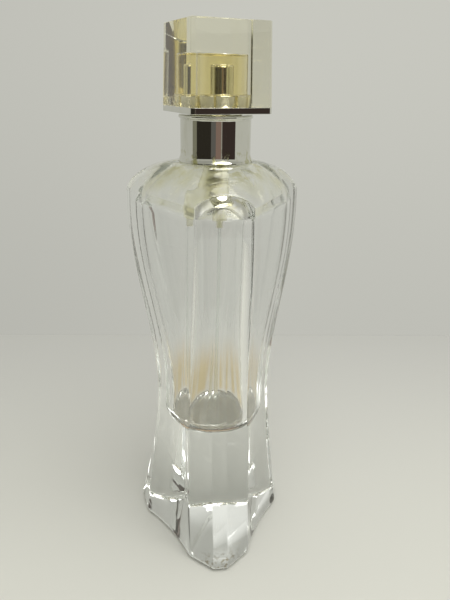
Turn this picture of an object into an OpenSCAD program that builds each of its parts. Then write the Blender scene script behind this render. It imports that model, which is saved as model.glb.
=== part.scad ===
// Perfume bottle: a heavy three-cornered glass flacon with a pinched waist, a crimped spray
// pump under a chrome collar, and a clear block cap with an amber grip insert.
// Millimetres, +Z up. The origin is on the bottle's axis, on the face that it stands on,
// and one corner of the glass points along -Y.

/* [Glass body] */
// Height of the edge where the sides meet the domed shoulder
shoulder_z = 116.3; // [112:0.1:118]
// Rise of the dome from that edge to the foot of the neck
dome_rise = 8.6; // [7:0.1:8.8]
// Height of the waist
waist_z = 52; // [48:1:56]
// Distance of the corner facets from the axis at the shoulder
shoulder_reach = 25.5; // [24.5:0.1:26]
// Distance of the corner facets from the axis at the waist
waist_reach = 16; // [15.5:0.1:17]
// Distance of the corner facets' edges from the axis at the foot
foot_reach = 22.1; // [21:0.1:23]
// Half width of a corner facet at the shoulder
shoulder_half = 7.65; // [7:0.05:8.2]
// Half width of a corner facet at the foot
foot_half = 9.15; // [8.6:0.05:9.6]
// Angle that each half of a corner facet is folded back at the foot
fold_angle = 42; // [30:1:44]
// Height where the fold in the corner facets dies out
fold_z = 104; // [80:1:108]
// Radius of the heel all round the base
heel_r = 2.5; // [1:0.1:3]
// Hollow of each side, in plan
side_dip = 0.4; // [0:0.1:0.8]
// Hollow of each side at the foot, in plan
foot_dip = 1.3; // [0.4:0.1:1.5]

/* [Glass inside] */
// Height of the inside floor, above the solid glass foot
floor_z = 42; // [38:0.5:46]
// Radius between the inside floor and wall
floor_r = 4; // [2:0.5:5]
// Glass thickness at the middle of a side
side_wall = 3.4; // [2.8:0.1:4]
// Glass thickness at the middle of a corner facet
facet_wall = 3.6; // [3:0.1:4.2]
// Depth of perfume left on the floor
residue_depth = 1.5; // [0.8:0.1:2]

/* [Neck and collar] */
// Radius of the hole through the neck
neck_bore_r = 4.4; // [4.3:0.05:4.5]
// Radius of the collar's straight wall
collar_r = 10; // [9.9:0.05:10.3]
// Radius of the chrome stub that the cap grips
stub_r = 7.3; // [7.2:0.05:7.4]
// Height of the stub's top
stub_top = 143.2; // [143:0.05:143.25]

/* [Spray pump] */
// How far the spray head presses down
stroke = 4; // [3:0.1:4]
// Radius of the spray head
head_r = 3.2; // [3.1:0.05:3.3]
// Height of the top of the spray head at rest
head_top = 150.5; // [150:0.1:151]
// Radius of the pump's chamber
chamber_r = 2.6; // [2.5:0.05:2.6]
// Radius of the dip tube
dip_r = 1; // [0.9:0.05:1]
// Active turns of the return spring
spring_turns = 7; // [5:1:8]

/* [Cap] */
// Width of the square cap at its foot
cap_w = 23.6; // [22.8:0.1:24]
// How much narrower the clear block is at its top
cap_taper = 1.1; // [0:0.1:1.4]
// Turn of the cap about the axis as it is put on
cap_turn = 17.8; // [-45:0.1:45]
// Chamfer down the cap's upright edges
cap_chamfer = 0.95; // [0.5:0.05:1.2]
// Thickness of the chrome plate under the cap
plate_t = 1.65; // [1.4:0.05:1.7]
// Height of the clear block's underside
block_z = 140.05; // [140:0.05:140.1]
// Height of the clear block's top
cap_top = 161.3; // [158:0.1:165]
// Radius of the amber insert
insert_r = 7.1; // [6.9:0.05:7.2]

/* [Hidden] */
$fn = 96;
eps = 0.01;
fit_gap = 0.05;             // gap between fixed pieces that fit into each other
corners = 3;

// Glass body
ridge_half = 2.3;           // half width of the flat land down the middle of a folded facet
foot_flare = 1.4;           // power by which the body widens below the waist
fold_growth = 1.3;          // power by which the fold grows towards the foot
flat_top = 4;               // height of the upright stretch under the shoulder
crease_z = 70;              // below this the corner edges are crisp
crisp_r = 3;                // corner edge radius on the crisp stretch
crisp_angle = 40;           // angle where that radius starts
soft_angle = 46;            // angle where the soft corner radius of the shoulder starts
soft_r = shoulder_half / sin(soft_angle);
dome_power = 0.8;
dome_centre = shoulder_reach - soft_r * cos(soft_angle);
ridge_steps = 3;
edge_steps = 5;
side_steps = 3;
body_step = 4.5;
heel_steps = 3;
dome_steps = 9;
shoulder_top = shoulder_z + dome_rise;

// Glass inside
cavity_top = 121.6;
cavity_shoulder = 112.5;
cavity_steps = 12;
cavity_points = 12;         // points on each rounded corner of the hollow

// Neck finish
neck_r = 6.4;
bead_r = 7.5;
bead_z = 129.2;
neck_top = 132.6;
bead_round = 0.6;

// Crimped stack on the neck
gasket_t = 0.7;
flange_t = 0.9;
closure_t = 1.2;
ferrule_t = 0.4;
gasket_z = neck_top;
flange_z = gasket_z + gasket_t;
closure_z = flange_z + flange_t;
ferrule_z = closure_z + closure_t;
ferrule_r = bead_r + fit_gap + ferrule_t;
crimp_z = bead_z - 0.3 - ferrule_t;

// Collar
collar_z = 125.05;
collar_top = 137.95;
collar_wall = 0.6;
foot_flange = 0.62;         // how far the foot of the collar flares
foot_flare_h = 2.1;
lip_flange = 0.52;          // how far the top of the collar flares
lip_flare_h = 1.8;
flare_steps = 6;
liner_t = 1.35;
stub_wall = 0.7;
stub_lid = 0.8;

// Pump
stem_r = 1.5;
stem_bore = 0.55;
stem_gap = 0.06;
barrel_r = 4.1;
nipple_r = 1.9;
ball_r = 1.1;
ball_lift = 0.6;
seat_r = 0.7;
seat_z = 112;
ball_room_r = 1.6;
ledge_z = 115;              // seat of the return spring
seal_z = 130.8;             // seat of the stem gasket
seal_t = 0.6;
plug_r = 3.25;
boss_r = 3.9;
boss_top = 136.9;
stop_r = 2.2;
stop_t = 0.8;
stop_z = seal_z - 0.1 - stop_t;
piston_z = 126.4;
piston_h = 2.6;
piston_slip = 0.5;          // lost motion of the piston on the stem, which opens the port
poppet_r = 2.1;
poppet_t = 0.9;
poppet_z = piston_z - 0.1 - poppet_t;
nub_r = 1.1;
nub_h = 1;
port_r = 0.3;
wire_r = 0.2;
spring_r = 2.1;
spring_sides = 8;
spring_facets = 16;         // rings in each turn
dip_bore = 0.6;
dip_z = floor_z + residue_depth + 0.8;
dip_top = 110;

// Spray head
head_z = 141.2;
sleeve_t = 0.4;
head_round = 0.5;
core_r = head_r - sleeve_t - fit_gap;
core_z = head_z + 0.4;
stem_top = 144.9;
jet_z = 147.4;
jet_r = 1.2;
jet_depth = 1.5;
orifice_r = 0.2;

// Cap
plate_z = block_z - plate_t;
plate_hole = stub_r + 0.45;
skirt_r = 8.25;
skirt_top = 143.4;
insert_top = 153.2;
head_gap = 0.4;             // room round the spray head inside the insert
grip_gap = 0.04;            // running fit of the insert on the stub

// From 0 to 1 along half a cosine wave
function ease(t) = (1 - cos(180 * max(0, min(1, t)))) / 2;

function blend(a, b, t) = a + (b - a) * t;

// Distance of a corner facet's edges from the axis at height z
function reach(z) = z < waist_z
    ? blend(waist_reach, foot_reach, pow((waist_z - z) / waist_z, foot_flare))
    : blend(waist_reach, shoulder_reach, ease((z - waist_z) / (shoulder_z - flat_top - waist_z)));

// Half width of a corner facet at height z
function half(z) = blend(foot_half, shoulder_half, pow(z / shoulder_z, 2));

// Angle of each half of a folded facet at height z; never quite 0, so that the land keeps its edges
function fold(z) = max(0.05, fold_angle * pow(max(0, fold_z - z) / fold_z, fold_growth));

// Radius and first angle of the rounding between a facet and a side
function edge_r(z) = blend(crisp_r, soft_r, ease((z - crease_z) / (shoulder_z - crease_z)));
function edge_angle(z) = blend(crisp_angle, soft_angle, ease((z - crease_z) / (shoulder_z - crease_z)));

// A point at the given angle on a circle, with the corner's direction as the second axis
function on_arc(centre, r, angle) = centre + r * [sin(angle), cos(angle)];

// Half of a corner's outline at height z, from the corner's middle to the middle of the side
function half_corner(z) =
    let (f = fold(z), w = half(z), b = reach(z), r = edge_r(z), start = edge_angle(z),
         land = b + (w - ridge_half) * tan(f),
         dip = blend(side_dip, foot_dip, pow(max(0, waist_z - z) / waist_z, 2)),
         centre = [w, b] - r * [sin(start), cos(start)],
         turn = on_arc(centre, r, 60),
         side = turn * [sin(60), cos(60)],
         middle = side * [sin(60), cos(60)])
    concat(
        [for (i = [0 : ridge_steps]) [ridge_half * i / ridge_steps, land]],
        [for (i = [0 : edge_steps]) on_arc(centre, r, blend(start, 60, i / edge_steps))],
        [for (i = [1 : side_steps]) let (t = i / side_steps)
            blend(turn, middle, t) - dip * (1 - pow(1 - t, 2)) * [sin(60), cos(60)]]);

// The same half outline on the dome, where t runs from 0 at the shoulder's edge to 1 at the neck
function dome_half_corner(t) =
    let (c = dome_centre * (1 - t), cut = (shoulder_reach - c) / soft_r,
         start = cut < 1 ? acos(cut) : 60 * (ridge_steps + 1) / (ridge_steps + 1 + edge_steps),
         w = soft_r * sin(start), turn = on_arc([0, c], soft_r, 60),
         side = turn * [sin(60), cos(60)], middle = side * [sin(60), cos(60)])
    concat(
        [for (i = [0 : ridge_steps]) let (k = i / (ridge_steps + 1))
            cut < 1 ? [w * k, shoulder_reach] : on_arc([0, c], soft_r, start * k)],
        [for (i = [0 : edge_steps]) on_arc([0, c], soft_r, blend(start, 60, i / edge_steps))],
        [for (i = [1 : side_steps]) let (k = i / side_steps)
            blend(turn, middle, k) - side_dip * (1 - t) * (1 - pow(1 - k, 2)) * [sin(60), cos(60)]]);

// A whole outline from its half corner: mirrored, then repeated for each corner
function outline(pts, scale) =
    let (n = len(pts) - 1)
    [for (k = [0 : corners - 1]) for (i = [-n + 1 : n])
        let (p = [sign(i) * pts[abs(i)][0], pts[abs(i)][1]] * scale, a = 360 / corners * k)
        [p[0] * cos(a) + p[1] * sin(a), p[0] * sin(a) - p[1] * cos(a)]];

function at_height(ring, z) = [for (p = ring) [p[0], p[1], z]];

// Rounding of the heel: how much smaller the outline is at height z
function heel_scale(z) = 1 - (heel_r - sqrt(max(0, heel_r * heel_r - pow(heel_r - z, 2)))) / foot_reach;

heel_heights = [for (i = [0 : heel_steps]) heel_r * (1 - cos(90 * i / heel_steps))];
body_count = ceil((shoulder_z - heel_r) / body_step);
wall_heights = [for (i = [1 : body_count]) blend(heel_r, shoulder_z, i / body_count)];
dome_places = [for (i = [1 : dome_steps]) pow(i / dome_steps, 1.35)];

outer_rings = concat(
    [for (z = heel_heights) at_height(outline(half_corner(z), z < heel_r ? heel_scale(z) : 1), z)],
    [for (z = wall_heights) at_height(outline(half_corner(z), 1), z)],
    [for (t = dome_places) at_height(outline(dome_half_corner(t), 1),
        shoulder_z + dome_rise * pow(1 - pow(1 - t, 2), dome_power))]);

// Outline of three circles of radius r at distance c from the axis, drawn round together
function rounded_ring(c, r, z) = [for (k = [0 : corners - 1]) for (i = [0 : cavity_points])
    let (a = 360 / corners * k - 60 + 120 * i / cavity_points - 90)
    [c * cos(360 / corners * k - 90) + r * cos(a), c * sin(360 / corners * k - 90) + r * sin(a), z]];

// Middle-of-side distance of the glass's outside at height z
function side_at(z) = let (pts = half_corner(z)) norm(pts[len(pts) - 1]);

// Outline of the hollow at height z, drawn in by inset
function hollow_ring(z, inset) =
    let (s = side_at(z) - side_wall - inset, t = reach(z) - facet_wall - inset,
         c = max(0.5, 2 * (t - s)))
    rounded_ring(c, s - c / 2, z);

hollow_floor = [for (i = [0 : 3]) let (a = 30 * i)
    hollow_ring(floor_z + floor_r * (1 - cos(a)), floor_r * (1 - sin(a)))];
hollow_wall = [for (i = [1 : cavity_steps])
    hollow_ring(blend(floor_z + floor_r, cavity_shoulder, i / cavity_steps), 0)];
hollow_lid = [for (i = [1 : 6]) let (t = pow(i / 6, 1.3), s = side_at(cavity_shoulder) - side_wall,
        c = 2 * (reach(cavity_shoulder) - facet_wall - s))
    rounded_ring(max(0.4, c * (1 - t)), blend(s - c / 2, neck_bore_r - 0.5, t),
        cavity_shoulder + (cavity_top - cavity_shoulder) * pow(1 - pow(1 - t, 2), dome_power))];

// A closed solid through a stack of outlines that have the same number of points
module skin(rings) {
    n = len(rings[0]);
    last = len(rings) - 1;
    walls = [for (k = [0 : last - 1]) for (i = [0 : n - 1]) let (j = (i + 1) % n, a = k * n, b = a + n)
        each [[a + i, b + i, b + j], [a + i, b + j, a + j]]];
    base = [for (i = [0 : n - 1]) i];
    lid = [for (i = [n - 1 : -1 : 0]) last * n + i];
    polyhedron(points = [for (ring = rings) each ring], faces = concat([base], walls, [lid]));
}

// A turned ring or disc
module ring(outer, inner, z, h) {
    translate([0, 0, z])
        difference() {
            cylinder(r = outer, h = h);
            translate([0, 0, -eps])
                cylinder(r = inner, h = h + 2 * eps);
        }
}

// A square with its corners cut off
module cap_outline() {
    h = cap_w / 2;
    c = h - cap_chamfer;
    polygon([[c, -h], [h, -c], [h, c], [c, h], [-c, h], [-h, c], [-h, -c], [-c, -h]]);
}

module neck_finish() {
    rotate_extrude()
        polygon(concat(
            [[0, shoulder_top - 1], [neck_r, shoulder_top - 1], [neck_r, bead_z]],
            [for (a = [-90 : 30 : 0]) [bead_r - bead_round, bead_z + bead_round]
                + bead_round * [cos(a), sin(a)]],
            [for (a = [0 : 30 : 90]) [bead_r - bead_round, neck_top - bead_round]
                + bead_round * [cos(a), sin(a)]],
            [[0, neck_top]]));
}

module glass_bottle() {
    color([0.86, 0.89, 0.87, 0.45])
        difference() {
            union() {
                skin(outer_rings);
                neck_finish();
            }
            skin(concat(hollow_floor, hollow_wall, hollow_lid));
            translate([0, 0, cavity_top - 2])
                cylinder(r = neck_bore_r, h = neck_top - cavity_top + 3);
        }
}

// Outline of the hollow's faceted floor at height h above it, drawn a hair clear of the glass
function puddle_ring(h) =
    let (below = [for (ring = hollow_floor) if (ring[0][2] <= floor_z + h) ring],
         i = min(len(below), len(hollow_floor) - 1), low = hollow_floor[i - 1], high = hollow_floor[i],
         t = (floor_z + h - low[0][2]) / (high[0][2] - low[0][2]))
    [for (j = [0 : len(low) - 1])
        let (p = blend(low[j], high[j], t), k = 1 - 2 * fit_gap / norm([p[0], p[1]]))
        [k * p[0], k * p[1], p[2]]];

puddle_top = fit_gap + residue_depth;
puddle_heights = concat([fit_gap],
    [for (ring = hollow_floor) let (h = ring[0][2] - floor_z) if (h > 3 * fit_gap && h < puddle_top - fit_gap) h],
    [puddle_top]);

// Perfume that is left in the bottom of the hollow
module perfume_residue() {
    color([0.93, 0.62, 0.32, 0.8])
        skin([for (h = puddle_heights) puddle_ring(h)]);
}

module neck_gasket() {
    color([0.25, 0.25, 0.26])
        ring(bead_r - 0.2, neck_bore_r + 0.2, gasket_z, gasket_t);
}

module pump_housing() {
    color([0.93, 0.93, 0.92])
        rotate_extrude()
            polygon([[bead_r - 0.5, flange_z], [bead_r - 0.5, closure_z], [plug_r + fit_gap, closure_z],
                     [plug_r + fit_gap, seal_z], [chamber_r, seal_z], [chamber_r, ledge_z],
                     [ball_r - 0.15, ledge_z], [ball_r - 0.15, ledge_z - 0.3],
                     [ball_room_r, ledge_z - 0.3], [ball_room_r, seat_z], [seat_r, seat_z],
                     [seat_r, dip_top], [dip_r + fit_gap / 2, dip_top],
                     [dip_r + fit_gap / 2, dip_top - 4], [nipple_r, dip_top - 4],
                     [nipple_r, seat_z - 1], [barrel_r, seat_z + 1], [barrel_r, flange_z]]);
}

module closure() {
    color([0.9, 0.9, 0.9])
        rotate_extrude()
            polygon([[stem_r + stem_gap, seal_z + seal_t], [plug_r, seal_z + seal_t],
                     [plug_r, closure_z], [bead_r - 0.6, closure_z], [bead_r - 0.6, ferrule_z],
                     [boss_r, ferrule_z], [boss_r, boss_top], [stem_r + stem_gap, boss_top]]);
}

module stem_gasket() {
    color([0.2, 0.2, 0.2])
        ring(plug_r, stem_r + stem_gap, seal_z, seal_t);
}

// Aluminium cup that holds the pump, rolled under the bead of the neck
module ferrule() {
    inside = ferrule_r - ferrule_t;
    color([0.8, 0.81, 0.82])
        rotate_extrude()
            polygon([[neck_r + 0.3, crimp_z], [ferrule_r - 0.2, crimp_z], [ferrule_r, crimp_z + 0.2],
                     [ferrule_r, ferrule_z + 0.2], [ferrule_r - 0.2, ferrule_z + ferrule_t],
                     [boss_r + fit_gap, ferrule_z + ferrule_t], [boss_r + fit_gap, ferrule_z],
                     [inside, ferrule_z], [inside, crimp_z + ferrule_t],
                     [neck_r + 0.3, crimp_z + ferrule_t]]);
}

module collar_liner() {
    color([0.85, 0.85, 0.84])
        ring(ferrule_r + fit_gap + liner_t, ferrule_r + fit_gap, collar_z + 0.25, 11.2);
}

// Polished shell with a flared foot and lip, and the stub that the cap grips
module collar() {
    inside = collar_r - collar_wall;
    foot = [for (i = [0 : flare_steps]) let (t = i / flare_steps)
        [collar_r + foot_flange * pow(1 - t, 2), collar_z + 0.4 + foot_flare_h * t]];
    lip = [for (i = [0 : flare_steps]) let (t = i / flare_steps)
        [collar_r + lip_flange * pow(t, 2), collar_top - 0.3 - lip_flare_h * (1 - t)]];
    color([0.82, 0.83, 0.84])
        rotate_extrude()
            polygon(concat(
                [[inside, collar_z], [collar_r + foot_flange - 0.25, collar_z]], foot, lip,
                [[collar_r + lip_flange - 0.25, collar_top], [stub_r, collar_top],
                 [stub_r, stub_top - 0.3], [stub_r - 0.3, stub_top], [head_r + 0.3, stub_top],
                 [head_r + 0.3, stub_top - stub_lid], [stub_r - stub_wall, stub_top - stub_lid],
                 [stub_r - stub_wall, collar_top - collar_wall], [inside, collar_top - collar_wall]]));
}

module dip_tube() {
    color([0.9, 0.92, 0.92, 0.7])
        ring(dip_r, dip_bore, dip_z, dip_top - dip_z - eps);
}

module check_ball() {
    color([0.75, 0.76, 0.78])
        translate([0, 0, seat_z + sqrt(ball_r * ball_r - seat_r * seat_r) + 0.02])
            sphere(r = ball_r);
}

// Coil of round wire, closed at both ends by flat turns
module return_spring() {
    height = poppet_z - ledge_z - 2 * wire_r - 0.04;
    count = (spring_turns + 2) * spring_facets;
    rings = [for (i = [0 : count]) let (turn = i / spring_facets, a = 360 * turn,
            rise = max(0, min(1, (turn - 1) / spring_turns)), dead = turn < 1 ? turn : 1,
            tail = max(0, turn - spring_turns - 1), pitch = 2.1 * wire_r,
            z = ledge_z + wire_r + 0.02 + pitch * (dead + tail) + rise * (height - 2 * pitch))
        [for (j = [0 : spring_sides - 1]) let (b = -360 * j / spring_sides, r = spring_r + wire_r * cos(b))
            [r * cos(a), r * sin(a), z + wire_r * sin(b)]]];
    color([0.7, 0.71, 0.73])
        skin(rings);
}

module piston() {
    color([0.95, 0.95, 0.94])
        rotate_extrude()
            polygon([[stem_r + stem_gap, piston_z], [stem_r + 0.5, piston_z],
                     [chamber_r - 0.6, piston_z + 0.7], [chamber_r - 0.25, piston_z],
                     [chamber_r - 0.04, piston_z], [chamber_r - 0.04, piston_z + piston_h],
                     [chamber_r - 0.25, piston_z + piston_h], [chamber_r - 0.6, piston_z + 1.7],
                     [stem_r + 0.5, piston_z + piston_h - 0.4], [stem_r + stem_gap, piston_z + piston_h - 0.4]]);
}

// Hollow stem with its stop, its poppet, the spring's nub and the cross port
module stem() {
    color([0.92, 0.92, 0.9])
        difference() {
            union() {
                translate([0, 0, poppet_z])
                    cylinder(r = stem_r, h = stem_top - poppet_z);
                translate([0, 0, stop_z])
                    cylinder(r = stop_r, h = stop_t);
                translate([0, 0, poppet_z])
                    cylinder(r = poppet_r, h = poppet_t);
                translate([0, 0, poppet_z - nub_h])
                    cylinder(r = nub_r, h = nub_h + eps);
            }
            translate([0, 0, piston_z + 0.3])
                cylinder(r = stem_bore, h = stem_top - piston_z);
            translate([-stem_r - 1, 0, piston_z + 0.8])
                rotate([0, 90, 0])
                    cylinder(r = port_r, h = 2 * stem_r + 2);
        }
}

// Plastic core of the spray head: socket for the stem, channel and pocket for the nozzle
module actuator_core() {
    core_top = head_top - sleeve_t - 0.1;
    color([0.88, 0.88, 0.86])
        difference() {
            translate([0, 0, core_z])
                cylinder(r = core_r, h = core_top - core_z);
            translate([0, 0, core_z - 1])
                cylinder(r = stem_r + stem_gap, h = stem_top + 0.1 - core_z + 1);
            cylinder(r = 0.5, h = jet_z + 0.3);
            translate([0, 0, jet_z])
                rotate([-90, 0, 0])
                    cylinder(r = 0.4, h = head_r);
            translate([0, head_r - jet_depth - 0.1, jet_z])
                rotate([-90, 0, 0])
                    cylinder(r = jet_r + fit_gap, h = head_r);
        }
}

// Polished outer shell of the spray head
module actuator_sleeve() {
    color([0.8, 0.81, 0.82])
        difference() {
            rotate_extrude()
                polygon(concat(
                    [[head_r - sleeve_t, head_z], [head_r, head_z]],
                    [for (a = [0 : 15 : 90]) [head_r - head_round, head_top - head_round]
                        + head_round * [cos(a), sin(a)]],
                    [[0, head_top], [0, head_top - sleeve_t], [head_r - sleeve_t, head_top - sleeve_t]]));
            translate([0, 0, jet_z])
                rotate([-90, 0, 0])
                    cylinder(r = jet_r + fit_gap, h = head_r + 1);
        }
}

module nozzle_insert() {
    depth = jet_depth - 0.15;
    color([0.3, 0.3, 0.31])
        translate([0, head_r - depth - 0.12, jet_z])
            rotate([-90, 0, 0])
                difference() {
                    cylinder(r = jet_r, h = depth);
                    translate([0, 0, -eps])
                        cylinder(r = jet_r - 0.45, h = depth - 0.5);
                    cylinder(r = orifice_r, h = depth + 1);
                    translate([0, 0, depth - 0.2])
                        cylinder(r1 = orifice_r, r2 = orifice_r + 0.3, h = 0.25);
                }
}

module cap_plate() {
    color([0.8, 0.81, 0.82])
        rotate([0, 0, cap_turn])
            translate([0, 0, plate_z])
                difference() {
                    linear_extrude(plate_t)
                        cap_outline();
                    translate([0, 0, -1])
                        cylinder(r = plate_hole, h = plate_t + 2);
                }
}

module cap_block() {
    color([0.95, 0.94, 0.82, 0.4])
        rotate([0, 0, cap_turn])
            difference() {
                translate([0, 0, block_z])
                    linear_extrude(cap_top - block_z, scale = 1 - cap_taper / cap_w)
                        cap_outline();
                translate([0, 0, block_z - 1])
                    cylinder(r = skirt_r + fit_gap, h = skirt_top + fit_gap - block_z + 1);
                translate([0, 0, block_z])
                    cylinder(r = insert_r + fit_gap, h = insert_top + fit_gap - block_z);
            }
}

module cap_insert() {
    color([0.93, 0.78, 0.38, 0.7])
        rotate_extrude()
            polygon([[stub_r + grip_gap, block_z + fit_gap], [skirt_r, block_z + fit_gap],
                     [skirt_r, skirt_top], [insert_r, skirt_top], [insert_r, insert_top - 0.3],
                     [insert_r - 0.3, insert_top], [0, insert_top], [0, head_top + head_gap],
                     [head_r + head_gap, head_top + head_gap], [head_r + head_gap, stub_top + 0.1],
                     [stub_r + grip_gap, stub_top + 0.1]]);
}

glass_bottle();
perfume_residue();
neck_gasket();
pump_housing();
closure();
stem_gasket();
ferrule();
collar_liner();
collar();
dip_tube();
check_ball();
return_spring();
piston();
stem();
actuator_core();
actuator_sleeve();
nozzle_insert();
cap_plate();
cap_block();
cap_insert();
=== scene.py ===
"""Looks of the perfume bottle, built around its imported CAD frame.

Lengths are millimetres until a mesh is made.
"""

import math

import bmesh
import bpy
import numpy as np
from mathutils import Matrix, Vector


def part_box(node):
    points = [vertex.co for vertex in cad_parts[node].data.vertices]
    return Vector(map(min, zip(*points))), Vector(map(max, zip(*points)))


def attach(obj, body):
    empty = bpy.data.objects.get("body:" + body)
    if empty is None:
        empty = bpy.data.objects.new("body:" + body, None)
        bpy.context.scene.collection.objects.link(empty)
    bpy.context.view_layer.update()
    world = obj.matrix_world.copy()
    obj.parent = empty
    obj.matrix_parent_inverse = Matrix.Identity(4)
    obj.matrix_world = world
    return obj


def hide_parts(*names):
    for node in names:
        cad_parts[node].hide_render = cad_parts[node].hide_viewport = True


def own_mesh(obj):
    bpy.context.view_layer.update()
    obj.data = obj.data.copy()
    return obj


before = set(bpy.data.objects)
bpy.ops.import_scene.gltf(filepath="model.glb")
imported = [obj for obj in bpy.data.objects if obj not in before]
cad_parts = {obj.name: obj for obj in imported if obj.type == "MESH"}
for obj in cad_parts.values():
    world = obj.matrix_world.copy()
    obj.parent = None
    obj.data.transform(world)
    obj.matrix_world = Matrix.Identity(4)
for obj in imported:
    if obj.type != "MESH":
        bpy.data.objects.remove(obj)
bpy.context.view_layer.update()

MM = 0.001
CORNERS = 3
TURN = 2 * math.pi

# The glass's outside, as the CAD frame has it
SHOULDER_Z = 116.3
DOME_RISE = 8.6
WAIST_Z = 52.0
SHOULDER_REACH = 25.5
WAIST_REACH = 16.0
FOOT_REACH = 22.1
SHOULDER_HALF = 7.65
FOOT_HALF = 9.15
FOLD_ANGLE = math.radians(42)
FOLD_Z = 104.0            # above this the corner facets are flat
FOLD_GROWTH = 1.3         # power by which the fold grows towards the foot
HEEL_R = 2.5
SIDE_DIP = 0.4            # hollow of each side, in plan
FOOT_DIP = 1.3            # the same at the foot
RIDGE_HALF = 2.3          # half width of the flat land down the middle of a folded facet
FOOT_FLARE = 1.4          # power by which the body widens below the waist
FLAT_TOP = 4.0            # height of the upright stretch under the shoulder
CREASE_Z = 70.0           # below this the corner edges are crisp
CRISP_R = 3.0
CRISP_ANGLE = math.radians(40)
SOFT_ANGLE = math.radians(46)
SOFT_R = SHOULDER_HALF / math.sin(SOFT_ANGLE)
SIDE_ANGLE = math.radians(60)
DOME_CENTRE = SHOULDER_REACH - SOFT_R * math.cos(SOFT_ANGLE)
DOME_POWER = 0.8
DOME_TOP = SHOULDER_Z + DOME_RISE
DOME_APEX = 1 - (SHOULDER_REACH - SOFT_R) / DOME_CENTRE    # share of the dome where the facet's arch ends

# Fine rounding that the CAD leaves sharp
LAND_R = 0.5
CREASE_R = 0.7
CREASE_BLEND = 0.35

# The hollow
FLOOR_Z = 42.0
FLOOR_R = 4.0
FAR_TINT_TOP = 67.0           # the streaked peach-amber tint on the hollow's far wall reaches up to here
SIDE_WALL = 3.4
FACET_WALL = 3.6
CAVITY_TOP = 121.6
CAVITY_SHOULDER = 112.5

# The neck
NECK_R = 6.4
BEAD_R = 7.5
BEAD_Z = 129.2
NECK_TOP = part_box("glass_bottle")[1].z / MM
BORE_R = 4.4
BORE_FOOT = 127.0

# The collar
COLLAR_R = 10.0
COLLAR_TOP = 137.95
STUB_R = 7.3

# The cap
CAP_TURN = 17.8           # degrees
CAP_CHAMFER = 0.95
CAP_TAPER = 1.1           # how much narrower the clear block is at its top
PLATE_HOLE_R = 7.75
SKIRT_R = 8.25            # the amber plug's wide foot
SKIRT_TOP = 143.4
PLUG_R = 7.1
WET = 0.03                # overlap of two clear pieces that touch, so that light passes between them
CLOSE = 0.02              # the same between plastic and chrome

# How finely the outline is divided: land, its rounding, facet, edge rounding, corner rounding, half a side
LAND_N, BEND_N, FACET_N, CREASE_N, EDGE_N, SIDE_N = 4, 4, 6, 6, 8, 10
FLAT_N = LAND_N + BEND_N + FACET_N
ROUND_N = FLAT_N + CREASE_N + EDGE_N
HALF_N = ROUND_N + SIDE_N


# ---------------------------------------------------------------- outlines of the glass

def blend(a, b, t):
    return a + (b - a) * t


def clamp(t):
    return max(0.0, min(1.0, t))


def ease(t):
    """From 0 to 1 along half a cosine wave."""
    return (1 - math.cos(math.pi * clamp(t))) / 2


def smooth_min(a, b, width):
    """The smaller of a and b, rounded where they cross."""
    near = max(width - abs(a - b), 0.0) / width
    return min(a, b) - near * near * width / 4


def reach(z):
    """Distance of the corner facets' edges from the axis."""
    if z < WAIST_Z:
        return blend(WAIST_REACH, FOOT_REACH, ((WAIST_Z - z) / WAIST_Z) ** FOOT_FLARE)
    return blend(WAIST_REACH, SHOULDER_REACH, ease((z - WAIST_Z) / (SHOULDER_Z - FLAT_TOP - WAIST_Z)))


def half_width(z):
    return blend(FOOT_HALF, SHOULDER_HALF, (z / SHOULDER_Z) ** 2)


def fold(z):
    """Angle of each half of a folded facet, never quite 0."""
    return max(math.radians(0.05), FOLD_ANGLE * (max(0.0, FOLD_Z - z) / FOLD_Z) ** FOLD_GROWTH)


def edge_shape(z):
    """Radius and first angle of the rounding between a facet and a side."""
    t = ease((z - CREASE_Z) / (SHOULDER_Z - CREASE_Z))
    return blend(CRISP_R, SOFT_R, t), blend(CRISP_ANGLE, SOFT_ANGLE, t)


def normal(angle):
    """Unit vector at that angle from the corner's direction, which is the second axis."""
    return np.array([math.sin(angle), math.cos(angle)])


def along(angle):
    """Unit vector along a surface that has that normal, away from the corner's middle."""
    return np.array([math.cos(angle), -math.sin(angle)])


def body_half(z):
    """Half of a corner's outline at height z, from the corner's middle to the middle of a side."""
    f, w, b = fold(z), half_width(z), reach(z)
    r, start = edge_shape(z)
    crease = np.array([w, b])
    land = np.array([RIDGE_HALF, b + (w - RIDGE_HALF) * math.tan(f)])
    bite = LAND_R * math.tan(f / 2)
    land_centre = land - np.array([bite, LAND_R])
    tangent = CREASE_R * math.tan((start - f) / 2)
    first = crease - tangent * along(f)
    crease_centre = first - CREASE_R * normal(f)
    centre = crease - r * normal(start)
    turn = centre + r * normal(SIDE_ANGLE)
    middle = float(turn @ normal(SIDE_ANGLE)) * normal(SIDE_ANGLE)
    ridge = [np.array([land_centre[0] * i / LAND_N, land[1]]) for i in range(LAND_N)]
    ridge += [land_centre + LAND_R * normal(f * i / BEND_N) for i in range(BEND_N + 1)]
    facet = [blend(ridge[-1], first, i / FACET_N) for i in range(1, FACET_N + 1)]
    rounding = [crease_centre + CREASE_R * normal(blend(f, start, i / CREASE_N))
                for i in range(1, CREASE_N + 1)]
    edge = [centre + r * normal(blend(start + tangent / r, SIDE_ANGLE, i / EDGE_N))
            for i in range(1, EDGE_N + 1)]
    dip = blend(SIDE_DIP, FOOT_DIP, (max(0.0, WAIST_Z - z) / WAIST_Z) ** 2)
    side = [blend(turn, middle, i / SIDE_N) - dip * (1 - (1 - i / SIDE_N) ** 2) * normal(SIDE_ANGLE)
            for i in range(1, SIDE_N + 1)]
    return ridge + facet + rounding + edge + side


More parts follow.
